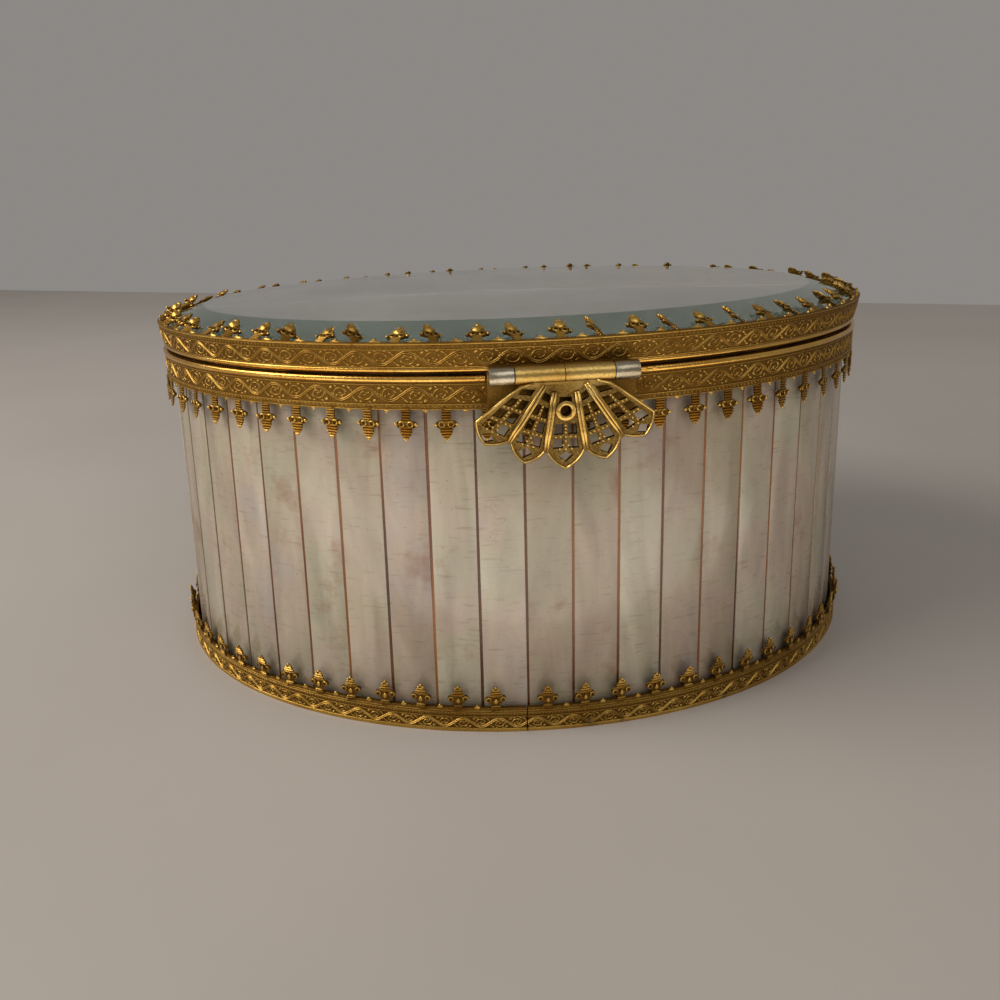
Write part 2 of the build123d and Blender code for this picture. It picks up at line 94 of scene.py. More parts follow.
# Book cloth of dyed cotton: a flat weave, drawn at 0.8 mm so that it shows, dull and dark.
book_cloth, tree = material_tree("dyed_book_cloth")
place = add(tree, "ShaderNodeTexCoord").outputs["Object"]
across = add(tree, "ShaderNodeTexWave", {"Vector": place, "Scale": 400}, bands_direction="X")
along = add(tree, "ShaderNodeTexWave", {"Vector": place, "Scale": 400}, bands_direction="Y")
both = {0: across.outputs["Fac"], 1: along.outputs["Fac"]}
weave = add(tree, "ShaderNodeMath", both, operation="MAXIMUM")
tone = add(tree, "ShaderNodeValToRGB", {0: weave.outputs[0]}, [(0.2, "#1d1917"), (0.9, "#3a332e")])
bump = add(tree, "ShaderNodeBump", {"Height": weave.outputs[0], "Strength": 0.5, "Distance": 0.1 * mm})
surface = {"Base Color": tone.outputs[0], "Normal": bump.outputs[0], "Roughness": 0.9}
shader = add(tree, "ShaderNodeBsdfPrincipled", surface)
add(tree, "ShaderNodeOutputMaterial", {"Surface": shader.outputs[0]})
dress(book_cloth, "underside_cover")

# Planed fruitwood: brown, with streaks of grain about 1.5 mm apart along X.
board_wood, tree = material_tree("planed_fruitwood")
place = add(tree, "ShaderNodeTexCoord").outputs["Object"]
stretched = add(tree, "ShaderNodeMapping", {"Vector": place, "Scale": (0.08, 1, 1)})
grain = add(tree, "ShaderNodeTexNoise", {"Vector": stretched.outputs[0], "Scale": 650, "Detail": 5})
tone = add(tree, "ShaderNodeValToRGB", {0: grain.outputs[0]}, [(0.3, "#6d4a2c"), (0.7, "#9a7248")])
bump = add(tree, "ShaderNodeBump", {"Height": grain.outputs[0], "Strength": 0.3, "Distance": 0.1 * mm})
surface = {"Base Color": tone.outputs[0], "Normal": bump.outputs[0], "Roughness": 0.6}
shader = add(tree, "ShaderNodeBsdfPrincipled", surface)
add(tree, "ShaderNodeOutputMaterial", {"Surface": shader.outputs[0]})
dress(board_wood, "bottom_board")


# ---- Pearl strips ----
# Fifty flat slips of mother-of-pearl, sawn from shell and polished. They stand side by side
# in the bands, each a little out of true, so every one catches the light differently.
strip_edge_round = 0.16 * mm
strip_turn = math.radians(0.5)
strip_lean = math.radians(0.12)
weld = 0.002 * mm


def only(piece):
    """Selects this piece alone and makes it the active one."""
    bpy.ops.object.select_all(action="DESELECT")
    piece.select_set(True)
    bpy.context.view_layer.objects.active = piece


def merged_copy(node, name):
    """A copy of a CAD node's mesh as a new piece, its loose triangles merged into faces."""
    piece = bpy.data.objects.new(name, nodes[node].data.copy())
    bpy.context.scene.collection.objects.link(piece)
    only(piece)
    bpy.ops.object.mode_set(mode="EDIT")
    bpy.ops.mesh.select_all(action="SELECT")
    bpy.ops.mesh.remove_doubles(threshold=weld)
    bpy.ops.mesh.dissolve_limited(angle_limit=math.radians(0.6))
    bpy.ops.mesh.customdata_custom_splitnormals_clear()
    bpy.ops.object.mode_set(mode="OBJECT")
    return piece


def modify(piece, kind, **settings):
    """Adds a modifier and applies it."""
    only(piece)
    modifier = piece.modifiers.new(kind.lower(), kind)
    for name, value in settings.items():
        setattr(modifier, name, value)
    bpy.ops.object.modifier_apply(modifier=modifier.name)


def smooth(piece, angle=35):
    """Shades a piece smooth, except over edges sharper than this many degrees."""
    only(piece)
    bpy.ops.object.shade_smooth_by_angle(angle=math.radians(angle))


def note(piece, name, values):
    """Writes one number per vertex as an attribute of the mesh."""
    layer = piece.data.attributes.new(name, "FLOAT", "POINT")
    layer.data.foreach_set("value", values)


# Polished mother-of-pearl: cloudy grey-beige with soft upright bands, blushes of pink and
# green, rust stains and fine scratches. The polish is high but worn.
pearl, tree = material_tree("polished_mother_of_pearl")
place = add(tree, "ShaderNodeTexCoord").outputs["Object"]
strip = add(tree, "ShaderNodeAttribute", attribute_name="strip").outputs["Fac"]
seed = add(tree, "ShaderNodeMath", {0: strip, 1: 37.0}, operation="MULTIPLY").outputs[0]
upright = add(tree, "ShaderNodeMapping", {"Vector": place, "Scale": (1, 1, 0.22)}).outputs[0]
lying = add(tree, "ShaderNodeMapping", {"Vector": place, "Scale": (0.12, 0.12, 1)}).outputs[0]
clouds = add(tree, "ShaderNodeTexNoise", noise_dimensions="4D", sockets={
    "Vector": upright, "W": seed, "Scale": 150, "Detail": 4, "Roughness": 0.55, "Distortion": 1.2})
lustre = add(tree, "ShaderNodeTexNoise", noise_dimensions="4D", sockets={
    "Vector": place, "W": seed, "Scale": 70, "Detail": 3, "Distortion": 0.8})
stains = add(tree, "ShaderNodeTexNoise", noise_dimensions="4D", sockets={
    "Vector": place, "W": seed, "Scale": 95, "Detail": 6, "Roughness": 0.65})
scratches = add(tree, "ShaderNodeTexNoise", noise_dimensions="4D", sockets={
    "Vector": lying, "W": seed, "Scale": 2600, "Detail": 3})
specks = add(tree, "ShaderNodeTexVoronoi", {"Vector": place, "Scale": 520})
body = add(tree, "ShaderNodeValToRGB", {0: clouds.outputs[0]}, [
    (0.25, "#7f7563"), (0.45, "#a0967f"), (0.6, "#b5ab94"), (0.8, "#cdc4ad")])
blush = add(tree, "ShaderNodeValToRGB", {0: lustre.outputs[0]}, [
    (0.3, "#a9ac98"), (0.45, "#aea592"), (0.58, "#b89d97"), (0.72, "#a69ba8")])
mixed = add(tree, "ShaderNodeMix", {0: 0.35, 6: body.outputs[0], 7: blush.outputs[0]}, data_type="RGBA")
shade = add(tree, "ShaderNodeValToRGB", {0: strip}, [(0, "#dcd5cc"), (1, "#ffffff")])
rust = add(tree, "ShaderNodeValToRGB", {0: stains.outputs[0]}, [
    (0.58, "#ffffff"), (0.7, "#d8a890"), (0.85, "#9c6a58")])
fine = add(tree, "ShaderNodeValToRGB", {0: scratches.outputs[0]}, [(0.3, "#cfc7ba"), (0.42, "#ffffff")])
spots = add(tree, "ShaderNodeValToRGB", {0: specks.outputs["Distance"]}, [
    (0.03, "#5a4a3a"), (0.09, "#ffffff")])
tone = mixed.outputs[2]
for amount, layer in ((1.0, shade), (0.75, rust), (0.6, fine), (0.5, spots)):
    tone = add(tree, "ShaderNodeMix", {0: amount, 6: tone, 7: layer.outputs[0]},
               data_type="RGBA", blend_type="MULTIPLY").outputs[2]
wear = add(tree, "ShaderNodeMapRange", {"Value": stains.outputs[0], 1: 0.3, 2: 0.8, 3: 0.2, 4: 0.42})
bump = add(tree, "ShaderNodeBump", {
    "Height": scratches.outputs[0], "Strength": 0.12, "Distance": 0.05 * mm})
shader = add(tree, "ShaderNodeBsdfPrincipled", {
    "Base Color": tone, "Roughness": wear.outputs[0], "Normal": bump.outputs[0],
    "IOR": 1.66, "Coat Weight": 0.35, "Coat Roughness": 0.12})
add(tree, "ShaderNodeOutputMaterial", {"Surface": shader.outputs[0]})

chance = random.Random(4)
for side in ("front", "back", "left", "right"):
    strips = merged_copy(f"pearl_strips_{side}", f"pearl_slips_{side}")
    points = strips.data.vertices
    owner = {v.index: {v.index} for v in points}
    for edge in strips.data.edges:
        both = owner[edge.vertices[0]] | owner[edge.vertices[1]]
        for v in both:
            owner[v] = both
    tints = [0.0] * len(points)
    for group in {min(group): group for group in owner.values()}.values():
        tint = chance.random()
        middle = sum((points[v].co for v in group), Vector()) / len(group)
        outward = Vector((middle.x, middle.y, 0)).normalized()
        turned = Matrix.Rotation(strip_turn * chance.uniform(-1, 1), 4, "Z")
        leaned = Matrix.Rotation(strip_lean * chance.uniform(-1, 1), 4, outward)
        for v in group:
            points[v].co = middle + turned @ leaned @ (points[v].co - middle)
            tints[v] = tint
    note(strips, "strip", tints)
    modify(strips, "BEVEL", width=strip_edge_round, segments=2, limit_method="ANGLE")
    smooth(strips)
    dress(pearl, strips.name)
    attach(strips, "base")
    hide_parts(f"pearl_strips_{side}")


# ---- Seam cement ----
# Amber shellac cement runs in every seam between the strips. It has darkened unevenly, from
# honey to nearly black, and stays glossy.
cement, tree = material_tree("aged_shellac_cement")
place = add(tree, "ShaderNodeTexCoord").outputs["Object"]
drawn = add(tree, "ShaderNodeMapping", {"Vector": place, "Scale": (1, 1, 0.12)})
age = add(tree, "ShaderNodeTexNoise", {"Vector": drawn.outputs[0], "Scale": 160, "Detail": 3})
lumps = add(tree, "ShaderNodeTexNoise", {"Vector": place, "Scale": 900, "Detail": 2})
tone = add(tree, "ShaderNodeValToRGB", {0: age.outputs[0]}, [
    (0.3, "#361603"), (0.5, "#6e3a0a"), (0.68, "#a3620f")])
bump = add(tree, "ShaderNodeBump", {"Height": lumps.outputs[0], "Strength": 0.5, "Distance": 0.15 * mm})
surface = {"Base Color": tone.outputs[0], "Normal": bump.outputs[0], "Roughness": 0.3, "IOR": 1.53}
shader = add(tree, "ShaderNodeBsdfPrincipled", surface)
add(tree, "ShaderNodeOutputMaterial", {"Surface": shader.outputs[0]})
dress(cement, "seam_cement")


# ---- Lower gallery band ----
# One strip of thin gilt brass, stamped with a scroll, a row of rings and a border, and cut
# into fleurs and points along one edge. It is bent round the foot and meets in an open seam.
half_length, half_width = 65, 50
lower_reach = Vector((half_length - 0.25, half_width - 0.25)) * mm
lower_seam = -5.6 * mm
fleur_before_seam, fleur_after_seam = 4.8 * mm, 3.2 * mm
fleur_count = 62


def drawn_sheet(name, length, pieces, rows):
    """A strip along X, extruded edge by edge through rows of outward place, height and width."""
    bpy.ops.object.select_all(action="DESELECT")
    bpy.ops.mesh.primitive_grid_add(
        x_subdivisions=pieces, y_subdivisions=1, size=1, rotation=(math.pi / 2, 0, 0))
    sheet = bpy.context.object
    sheet.name = name
    bpy.ops.object.transform_apply(location=True, rotation=True, scale=True)
    bpy.ops.object.mode_set(mode="EDIT")
    bpy.ops.mesh.select_mode(type="VERT")
    bpy.ops.mesh.select_all(action="DESELECT")
    bpy.ops.object.mode_set(mode="OBJECT")
    for v in sheet.data.vertices:
        v.select = v.co.z > 0
        row = rows[1] if v.select else rows[0]
        v.co = Vector((v.co.x * length * row[2], -row[0] * mm, row[1] * mm))
    bpy.ops.object.mode_set(mode="EDIT")
    for before, after in zip(rows[1:], rows[2:]):
        step = (0, (before[0] - after[0]) * mm, (after[1] - before[1]) * mm)
        bpy.ops.mesh.extrude_region_move(TRANSFORM_OT_translate={"value": step})
        bpy.ops.transform.resize(value=(after[2] / before[2], 1, 1), center_override=(0, 0, 0))
    bpy.ops.object.mode_set(mode="OBJECT")
    return sheet


def wire(name, points, radius, sides=0, capped=True):
    """A round wire along a smooth line through points in millimetres, as a mesh."""
    line = bpy.data.curves.new(name, "CURVE")
    line.dimensions = "3D"
    spline = line.splines.new("NURBS")
    spline.points.add(len(points) - 1)
    for point, place in zip(spline.points, points):
        point.co = (place[0] * mm, place[1] * mm, place[2] * mm, 1)
    spline.order_u = 3
    spline.use_endpoint_u = True
    line.resolution_u = 2
    line.bevel_depth = radius * mm
    line.bevel_resolution = sides
    line.use_fill_caps = capped
    holder = bpy.data.objects.new(name, line)
    bpy.context.scene.collection.objects.link(holder)
    only(holder)
    bpy.ops.object.convert(target="MESH")
    return bpy.context.object


def bead(place, size, stretch=(1, 1, 1), turn=0.0):
    """A small ball or leaf of twenty faces, at a place and of a radius in millimetres."""
    bpy.ops.object.select_all(action="DESELECT")
    bpy.ops.mesh.primitive_ico_sphere_add(
        subdivisions=1, radius=size * mm, location=[c * mm for c in place],
        scale=stretch, rotation=(0, turn, 0))
    return bpy.context.object


def joined(name, pieces):
    """Joins pieces into one mesh, with its place and turn applied."""
    only(pieces[0])
    for piece in pieces:
        piece.select_set(True)
    bpy.ops.object.join()
    bpy.context.object.name = name
    bpy.ops.object.transform_apply(location=True, rotation=True, scale=True)
    return bpy.context.object


def closed(piece):
    """Merges what meets, fills what is open at the ends, and turns every face outwards."""
    only(piece)
    bpy.ops.object.mode_set(mode="EDIT")
    bpy.ops.mesh.select_all(action="SELECT")
    bpy.ops.mesh.remove_doubles(threshold=weld)
    bpy.ops.mesh.fill_holes(sides=0)
    bpy.ops.mesh.normals_make_consistent(inside=False)
    bpy.ops.object.mode_set(mode="OBJECT")


def copies(piece, places):
    """A copy of the piece at each place, each with its own mesh. The piece itself is used up."""
    made = []
    for place in places:
        copy = bpy.data.objects.new(piece.name, piece.data.copy())
        bpy.context.scene.collection.objects.link(copy)
        copy.matrix_world = place
        made.append(copy)
    bpy.data.objects.remove(piece)
    return made


def bent_round(piece, reach):
    """Bends a straight strip round an oval of these radii. The strip's X = 0 meets the front."""
    bpy.ops.object.select_all(action="DESELECT")
    bpy.ops.curve.primitive_bezier_circle_add(radius=1)
    guide = bpy.context.object
    guide.scale = (reach[0], reach[1], 1)
    bpy.ops.object.transform_apply(location=True, rotation=True, scale=True)
    guide.data.resolution_u = 64
    guide.data.use_radius = False
    bpy.ops.object.mode_set(mode="EDIT")
    bpy.ops.curve.select_all(action="SELECT")
    bpy.ops.curve.switch_direction()
    bpy.ops.object.mode_set(mode="OBJECT")
    quarter = guide.data.splines[0].calc_length(resolution=256) / 4
    only(piece)
    bpy.ops.transform.translate(value=(quarter, 0, 0))
    bpy.ops.object.transform_apply(location=True, rotation=True, scale=True)
    modify(piece, "CURVE", object=guide, deform_axis="POS_X")
    bpy.data.objects.remove(guide)


def girth(reach):
    """Length of an oval's line, by Ramanujan's rule."""
    a, b = reach
    return math.pi * (3 * (a + b) - math.sqrt((3 * a + b) * (a + 3 * b)))


def stamped_tile(name, pitch, section, scroll, rings):
    """One repeat of a stamped strip: its section drawn along X, a scroll and a row of rings."""
    divisions, ring_count = 8, 11
    tile = drawn_sheet(name, pitch, divisions, [(row[0], row[1], 1) for row in section])
    middle, rise, ground = scroll
    length = pitch / mm
    parts = []
    for lift in (-0.13, 0.13):
        stem = [
            (length * (k / 8 - 0.5), -ground, middle + rise * math.sin(math.pi * k / 4) + lift)
            for k in range(9)]
        parts.append(wire("stem", stem, 0.13, capped=False))
    for side in (1, -1):
        centre = (-side * length / 4, middle - side * 0.1)
        curl = []
        for k in range(9):
            angle = math.radians(25 - 48 * k)
            size = rise * (0.98 - 0.085 * k)
            x = centre[0] + side * size * 1.3 * math.cos(angle)
            curl.append((x, -ground, centre[1] + side * size * math.sin(angle)))
        parts.append(wire("curl", curl, 0.11))
        leaves = [
            (0.05, 0.02, 0.26, 0), (-0.8, -0.35, 0.3, 0.9), (0.62, 0.34, 0.26, -0.8),
            (-1.35, -0.82, 0.36, 0.5), (-0.6, -1.02, 0.3, -0.2), (1.5, -0.8, 0.36, -0.6),
            (0.8, -1.02, 0.3, 0.3), (-1.75, -0.45, 0.28, 0.9), (1.3, 0.1, 0.26, 1.2),
            (-0.25, 0.55, 0.26, 0.2)]
        for x, z, size, turn in leaves:
            at = (centre[0] + side * x * rise, -ground - 0.02, centre[1] + side * z * rise)
            parts.append(bead(at, size, (1, 0.4, 0.5), turn))
    ring_height, ring_size, ring_ground = rings
    bpy.ops.object.select_all(action="DESELECT")
    bpy.ops.mesh.primitive_torus_add(
        major_radius=ring_size * mm, minor_radius=0.085 * mm, major_segments=6, minor_segments=3,
        location=(0, -ring_ground * mm, ring_height * mm), rotation=(math.pi / 2, math.pi / 6, 0))
    ring = bpy.context.object
    bpy.ops.object.transform_apply(location=True, rotation=True, scale=True)
    parts += copies(ring, [
        Matrix.Translation((pitch * ((k + 0.5) / ring_count - 0.5), 0, 0)) for k in range(ring_count)])
    tile = joined(name, [tile] + parts)
    only(tile)
    bpy.ops.object.mode_set(mode="EDIT")
    bpy.ops.mesh.select_all(action="SELECT")
    bpy.ops.mesh.remove_doubles(threshold=weld)
    bpy.ops.object.mode_set(mode="OBJECT")
    return tile


def repeated(tile, pitch, count, start):
    """Repeats a tile along X, moves the strip so that it begins at start, and closes it."""
    modify(tile, "ARRAY", count=count, use_relative_offset=False, use_constant_offset=True,
           constant_offset_displace=(pitch, 0, 0), use_merge_vertices=True, merge_threshold=weld)
    only(tile)
    bpy.ops.transform.translate(value=(start + pitch / 2, 0, 0))
    bpy.ops.object.transform_apply(location=True, rotation=True, scale=True)
    closed(tile)


def depth_note(piece, ground):
    """Notes how far each point of a straight strip stands out from its ground, in millimetres."""
    note(piece, "relief", [-v.co.y / mm - ground for v in piece.data.vertices])


def fleur(name, rows, bosses, eyes):
    """One stamped fleur, root at the origin and tip upwards: a ridged tongue with bosses and rings."""
    tongue = drawn_sheet(name, 1 * mm, 4, [(lift, along, 2 * half) for along, half, lift in rows])
    for v in tongue.data.vertices:
        v.co.y += 0.1 * mm * (v.co.x / (1.2 * mm)) ** 2
    modify(tongue, "SOLIDIFY", thickness=0.22 * mm, offset=-1)
    parts = [bead(*boss) for boss in bosses]
    for x, z, size in eyes:
        bpy.ops.object.select_all(action="DESELECT")
        bpy.ops.mesh.primitive_torus_add(
            major_radius=size * mm, minor_radius=0.1 * mm, major_segments=7, minor_segments=3,
            location=(x * mm, -0.26 * mm, z * mm), rotation=(math.pi / 2, 0, 0))
        parts.append(bpy.context.object)
    return joined(name, [tongue] + parts)


def with_fleurs(strip, pattern, places, points):
    """Joins a row of fleurs and a row of small points to a straight strip."""
    small = joined("point", points)
    note(small, "relief", [0.2] * len(small.data.vertices))
    between = [(a.translation + b.translation) / 2 for a, b in zip(places, places[1:])]
    row = copies(small, [Matrix.Translation((p.x, p.y, p.z)) for p in between])
    return joined(strip.name, [strip] + copies(pattern, places) + row)


def gilt(name, bright, middle, recess_grime_and_shade, stain, rough=0.34, relief_to=0.2, tarnish=0.0):
    """Gilt brass: bright where it stands proud, with brown grime and painted shade in the recesses, and
    stains.
    """
    material, tree = material_tree(name)
    place = add(tree, "ShaderNodeTexCoord").outputs["Object"]
    relief = add(tree, "ShaderNodeAttribute", attribute_name="relief").outputs["Fac"]
    drift = add(tree, "ShaderNodeTexNoise", {
        "Vector": place, "Scale": 110, "Detail": 4, "Roughness": 0.6}).outputs[0]
    stipple = add(tree, "ShaderNodeTexNoise", {"Vector": place, "Scale": 3600, "Detail": 2}).outputs[0]
    pits = add(tree, "ShaderNodeTexVoronoi", {"Vector": place, "Scale": 2600}).outputs["Distance"]
    # Low relief takes the recess colour: real grime plus painted shade in the hollows.
    height = add(tree, "ShaderNodeMapRange", {"Value": relief, 1: 0.0, 2: relief_to}).outputs[0]
    rubbed = add(
        tree, "ShaderNodeMath", {0: stipple, 1: 0.7, 2: -0.35}, operation="MULTIPLY_ADD").outputs[0]
    shown = add(
        tree, "ShaderNodeMath", {0: height, 1: rubbed}, operation="ADD", use_clamp=True).outputs[0]
    metal = add(tree, "ShaderNodeValToRGB", {0: drift}, [(0.35, middle), (0.65, bright)]).outputs[0]
    tone = add(
        tree, "ShaderNodeMix", {0: shown, 6: colour(recess_grime_and_shade), 7: metal}, data_type="RGBA").outputs[2]
    low = add(tree, "ShaderNodeSeparateXYZ", {0: place}).outputs[2]
    foot = add(tree, "ShaderNodeMapRange", {"Value": low, 1: 4.5 * mm, 2: 0.5 * mm}).outputs[0]
    patch = add(tree, "ShaderNodeTexNoise", {
        "Vector": place, "Scale": 42, "Detail": 5, "Roughness": 0.7}).outputs[0]
    gone = add(tree, "ShaderNodeMapRange", {"Value": patch, 1: 0.55, 2: 0.62}).outputs[0]
    worn = add(tree, "ShaderNodeMath", {0: gone, 1: foot}, operation="MULTIPLY").outputs[0]
    worn = add(tree, "ShaderNodeMath", {0: worn, 1: tarnish}, operation="MULTIPLY").outputs[0]
    tone = add(tree, "ShaderNodeMix", {0: worn, 6: tone, 7: colour(stain)}, data_type="RGBA").outputs[2]
    polish = add(tree, "ShaderNodeMapRange", {
        "Value": shown, 1: 0, 2: 1, 3: rough + 0.25, 4: rough}).outputs[0]
    polish = add(
        tree, "ShaderNodeMath", {0: worn, 1: 0.3, 2: polish}, operation="MULTIPLY_ADD").outputs[0]
    bump = add(tree, "ShaderNodeBump", {"Height": pits, "Strength": 0.35, "Distance": 0.05 * mm})
    surface = {"Base Color": tone, "Roughness": polish, "Normal": bump.outputs[0], "Metallic": 1.0}
    shader = add(tree, "ShaderNodeBsdfPrincipled", surface)
    add(tree, "ShaderNodeOutputMaterial", {"Surface": shader.outputs[0]})
    return material


# Gilt brass of the stamped strips: warm gold on the ridges, brown grime and painted shade in the
# ground. The gilding is worn through to grey-brown brass in patches round the foot.
stamped_gilt = gilt("stamped_gilt_brass", "#e0b75e", "#bd9245", "#70501f", "#4a4436", tarnish=0.85)

lower_count = 64
lower_gap = 0.18 * mm
lower_pitch = (girth(lower_reach) - lower_gap) / lower_count
lower_section = [
    (-0.65, 0.0), (0.12, 0.0), (0.15, 0.06), (0.15, 0.48), (0.1, 0.56), (0, 0.6), (0, 2.46),
    (0.12, 2.5), (0.12, 2.58), (0, 2.64), (0, 3.08), (0.11, 3.12), (0.11, 3.22), (0.02, 3.28),
    (0.02, 3.42), (0.11, 3.46), (0.11, 3.56), (0.02, 3.62), (0.02, 3.9), (-0.05, 4.0),
    (-0.65, 4.0), (-0.65, 0.0)]
tile = stamped_tile(
    "lower_gallery_band", lower_pitch, lower_section, (1.52, 0.72, 0.02), (2.86, 0.15, 0.02))
repeated(tile, lower_pitch, lower_count, lower_seam + lower_gap / 2)

# A standing fleur: two foot bars, an urn with a raised almond, and a ridged cap.
standing_rows = [
    (-0.5, 0.7, 0.1), (0.0, 0.8, 0.12), (0.12, 0.84, 0.38), (0.26, 0.66, 0.1), (0.42, 0.7, 0.38),
    (0.6, 0.52, 0.1), (0.82, 0.8, 0.14), (1.1, 1.25, 0.2), (1.45, 1.6, 0.16), (1.8, 1.62, 0.16),
    (2.1, 1.4, 0.3), (2.3, 0.95, 0.42), (2.46, 0.78, 0.12), (2.64, 0.86, 0.42), (2.84, 0.68, 0.14),
    (3.04, 0.66, 0.42), (3.24, 0.44, 0.16), (3.45, 0.36, 0.34), (3.75, 0.12, 0.22)]
standing_bosses = [
    ((0, -0.34, 1.36), 0.4, (0.75, 0.7, 1.15)), ((0, -0.3, 3.66), 0.2), ((-0.38, -0.3, 3.34), 0.18),
    ((0.38, -0.3, 3.34), 0.18)]
standing = fleur(
    "standing_fleur", standing_rows, standing_bosses, [(-1.12, 1.62, 0.36), (1.12, 1.62, 0.36)])
depth_note(standing, 0.16)
depth_note(tile, 0.0)
lower_run = girth(lower_reach) - fleur_before_seam - fleur_after_seam
places = []
for k in range(fleur_count):
    spot = Matrix.Translation(
        (lower_seam + fleur_after_seam + lower_run * k / (fleur_count - 1), 0, 4.0 * mm))
    turned = Matrix.Rotation(math.radians(chance.uniform(-9, 9)), 4, "Z")
    leaned = Matrix.Rotation(math.radians(chance.uniform(-4, 5)), 4, "X")
    places.append(spot @ turned @ leaned)
point = [bead((0, 0.05, 0.05), 0.55, (0.9, 0.4, 0.55)), bead((0, 0.02, 0.36), 0.2)]
lower_band = with_fleurs(tile, standing, places, point)
bent_round(lower_band, lower_reach)
smooth(lower_band, 40)
dress(stamped_gilt, "lower_gallery_band")
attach(lower_band, "base")
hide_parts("lower_band")


# ---- Upper gallery band ----
# The same kind of strip, taller, with its fleurs hanging. It clamps the strips' upper ends,
# and its seam is taken to be behind the catch plate.
upper_reach = Vector((half_length - 0.15, half_width - 0.15)) * mm
upper_count = 48
upper_pitch = girth(upper_reach) / upper_count
upper_foot = 51.6
upper_section = [
    (-0.75, 0.0), (0.06, 0.0), (0.13, 0.05), (0.13, 0.15), (0.02, 0.2), (0.02, 0.72), (0.13, 0.77),
    (0.13, 0.87), (0.0, 0.93), (0.0, 3.62), (0.1, 3.66), (0.1, 3.76), (0.0, 3.82), (0.0, 4.05),
    (-0.75, 4.05), (-0.75, 0.0)]
tile = stamped_tile("upper_gallery_band", upper_pitch, [(n, z + upper_foot) for n, z in upper_section],
                    (upper_foot + 2.3, 1.0, 0.02), (upper_foot + 0.46, 0.17, 0.02))
repeated(tile, upper_pitch, upper_count, 0)

# A hanging fleur: a stem of four ridges, two arms with sunk eyes, and a ridged, tapering head.
hanging_rows = [
    (-0.4, 0.66, 0.1), (0.0, 0.66, 0.12), (0.18, 0.72, 0.38), (0.36, 0.62, 0.1), (0.56, 0.7, 0.38),
    (0.75, 0.62, 0.1), (0.95, 0.7, 0.38), (1.14, 0.62, 0.1), (1.34, 0.7, 0.38), (1.54, 0.7, 0.12),
    (1.72, 1.3, 0.24), (2.05, 1.66, 0.1), (2.38, 1.5, 0.1), (2.58, 1.15, 0.4), (2.78, 0.84, 0.12),
    (2.98, 1.0, 0.44), (3.18, 0.84, 0.14), (3.4, 0.92, 0.44), (3.6, 0.7, 0.14), (3.8, 0.7, 0.42),
    (4.0, 0.44, 0.16), (4.22, 0.34, 0.34), (4.5, 0.1, 0.22)]
arm_balls = [((-1.55, -0.2, 2.1), 0.3, (1, 0.8, 0.95)), ((1.55, -0.2, 2.1), 0.3, (1, 0.8, 0.95))]
eyes = [(-0.66, 2.06, 0.4), (0.66, 2.06, 0.4)]
hanging = fleur("hanging_fleur", hanging_rows, arm_balls + [((0, -0.26, 4.4), 0.2)], eyes)
dome = [((0, -0.3, 3.2), 0.85, (1.05, 0.5, 0.95)), ((0, -0.32, 4.0), 0.4, (1.1, 0.6, 0.9))]
claw = fleur("crest_claw", hanging_rows, arm_balls + dome, eyes)
for piece in (hanging, claw):
    depth_note(piece, 0.16)
depth_note(tile, 0.0)
upper_run = girth(upper_reach) - fleur_before_seam - fleur_after_seam
places = []
for k in range(fleur_count):
    spot = Matrix.Translation(
        (fleur_after_seam + upper_run * k / (fleur_count - 1), 0, upper_foot * mm))
    turned = Matrix.Rotation(math.radians(chance.uniform(-8, 8)), 4, "Z")
    leaned = Matrix.Rotation(math.radians(chance.uniform(-4, 3)), 4, "X")
    places.append(spot @ turned @ leaned @ Matrix.Rotation(math.pi, 4, "Y"))
point = [bead((0, 0.05, -0.05), 0.5, (0.9, 0.4, 0.5)), bead((0, 0.02, -0.32), 0.18)]
upper_band = with_fleurs(tile, hanging, places, point)
bent_round(upper_band, upper_reach)
smooth(upper_band, 40)
dress(stamped_gilt, "upper_gallery_band")
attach(upper_band, "base")
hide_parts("upper_band")


# ---- Mouth moulding and hoops ----
# A smooth half-round moulding finishes the upper band and stops short of the barrels at the
# front and back. Plain brass hoops inside hold the strips, and have gone dull and brown.
mouth_bottom, mouth_top = 55.65, 56.5
hasp_reach, hinge_reach = 10.75, 12.3
moulding_divisions = 280


def moulding(name, reach, low, high, proud, gap_front, gap_back, back):
    """Two half-round mouldings round an oval, one for each side, their ends filled flat."""
    half = girth(reach) / 2 / mm
    halves = []
    for side in (1, -1):
        length = half - gap_front - gap_back
        middle, rise = (low + high) / 2, (high - low) / 2
        section = [(-back, low, 1)]
        for k in range(7):
            angle = math.radians(-90 + 30 * k)
            section.append((proud * math.cos(angle) - 0.02, middle + rise * math.sin(angle), 1))
        section += [(-back, high, 1), (-back, low, 1)]
        bar = drawn_sheet(name, length * mm, moulding_divisions, section)
        closed(bar)
        bpy.ops.transform.translate(value=(side * (gap_front + length / 2) * mm, 0, 0))
        bpy.ops.object.transform_apply(location=True, rotation=True, scale=True)
        halves.append(bar)
    ring = joined(name, halves)
    note(ring, "relief", [1.0] * len(ring.data.vertices))
    bent_round(ring, reach)
    smooth(ring, 50)
    return ring


# Burnished gilt brass: smooth and brighter than the stamped strips, with drifts of wear.
burnished_gilt = gilt("burnished_gilt_brass", "#f0c468", "#cf9a44", "#3a240c", "#3f382b", rough=0.24)
mouth_reach = Vector((half_length, half_width)) * mm
mouth = moulding(
    "mouth_moulding", mouth_reach, mouth_bottom, mouth_top, 0.24, hasp_reach, hinge_reach, 0.86)
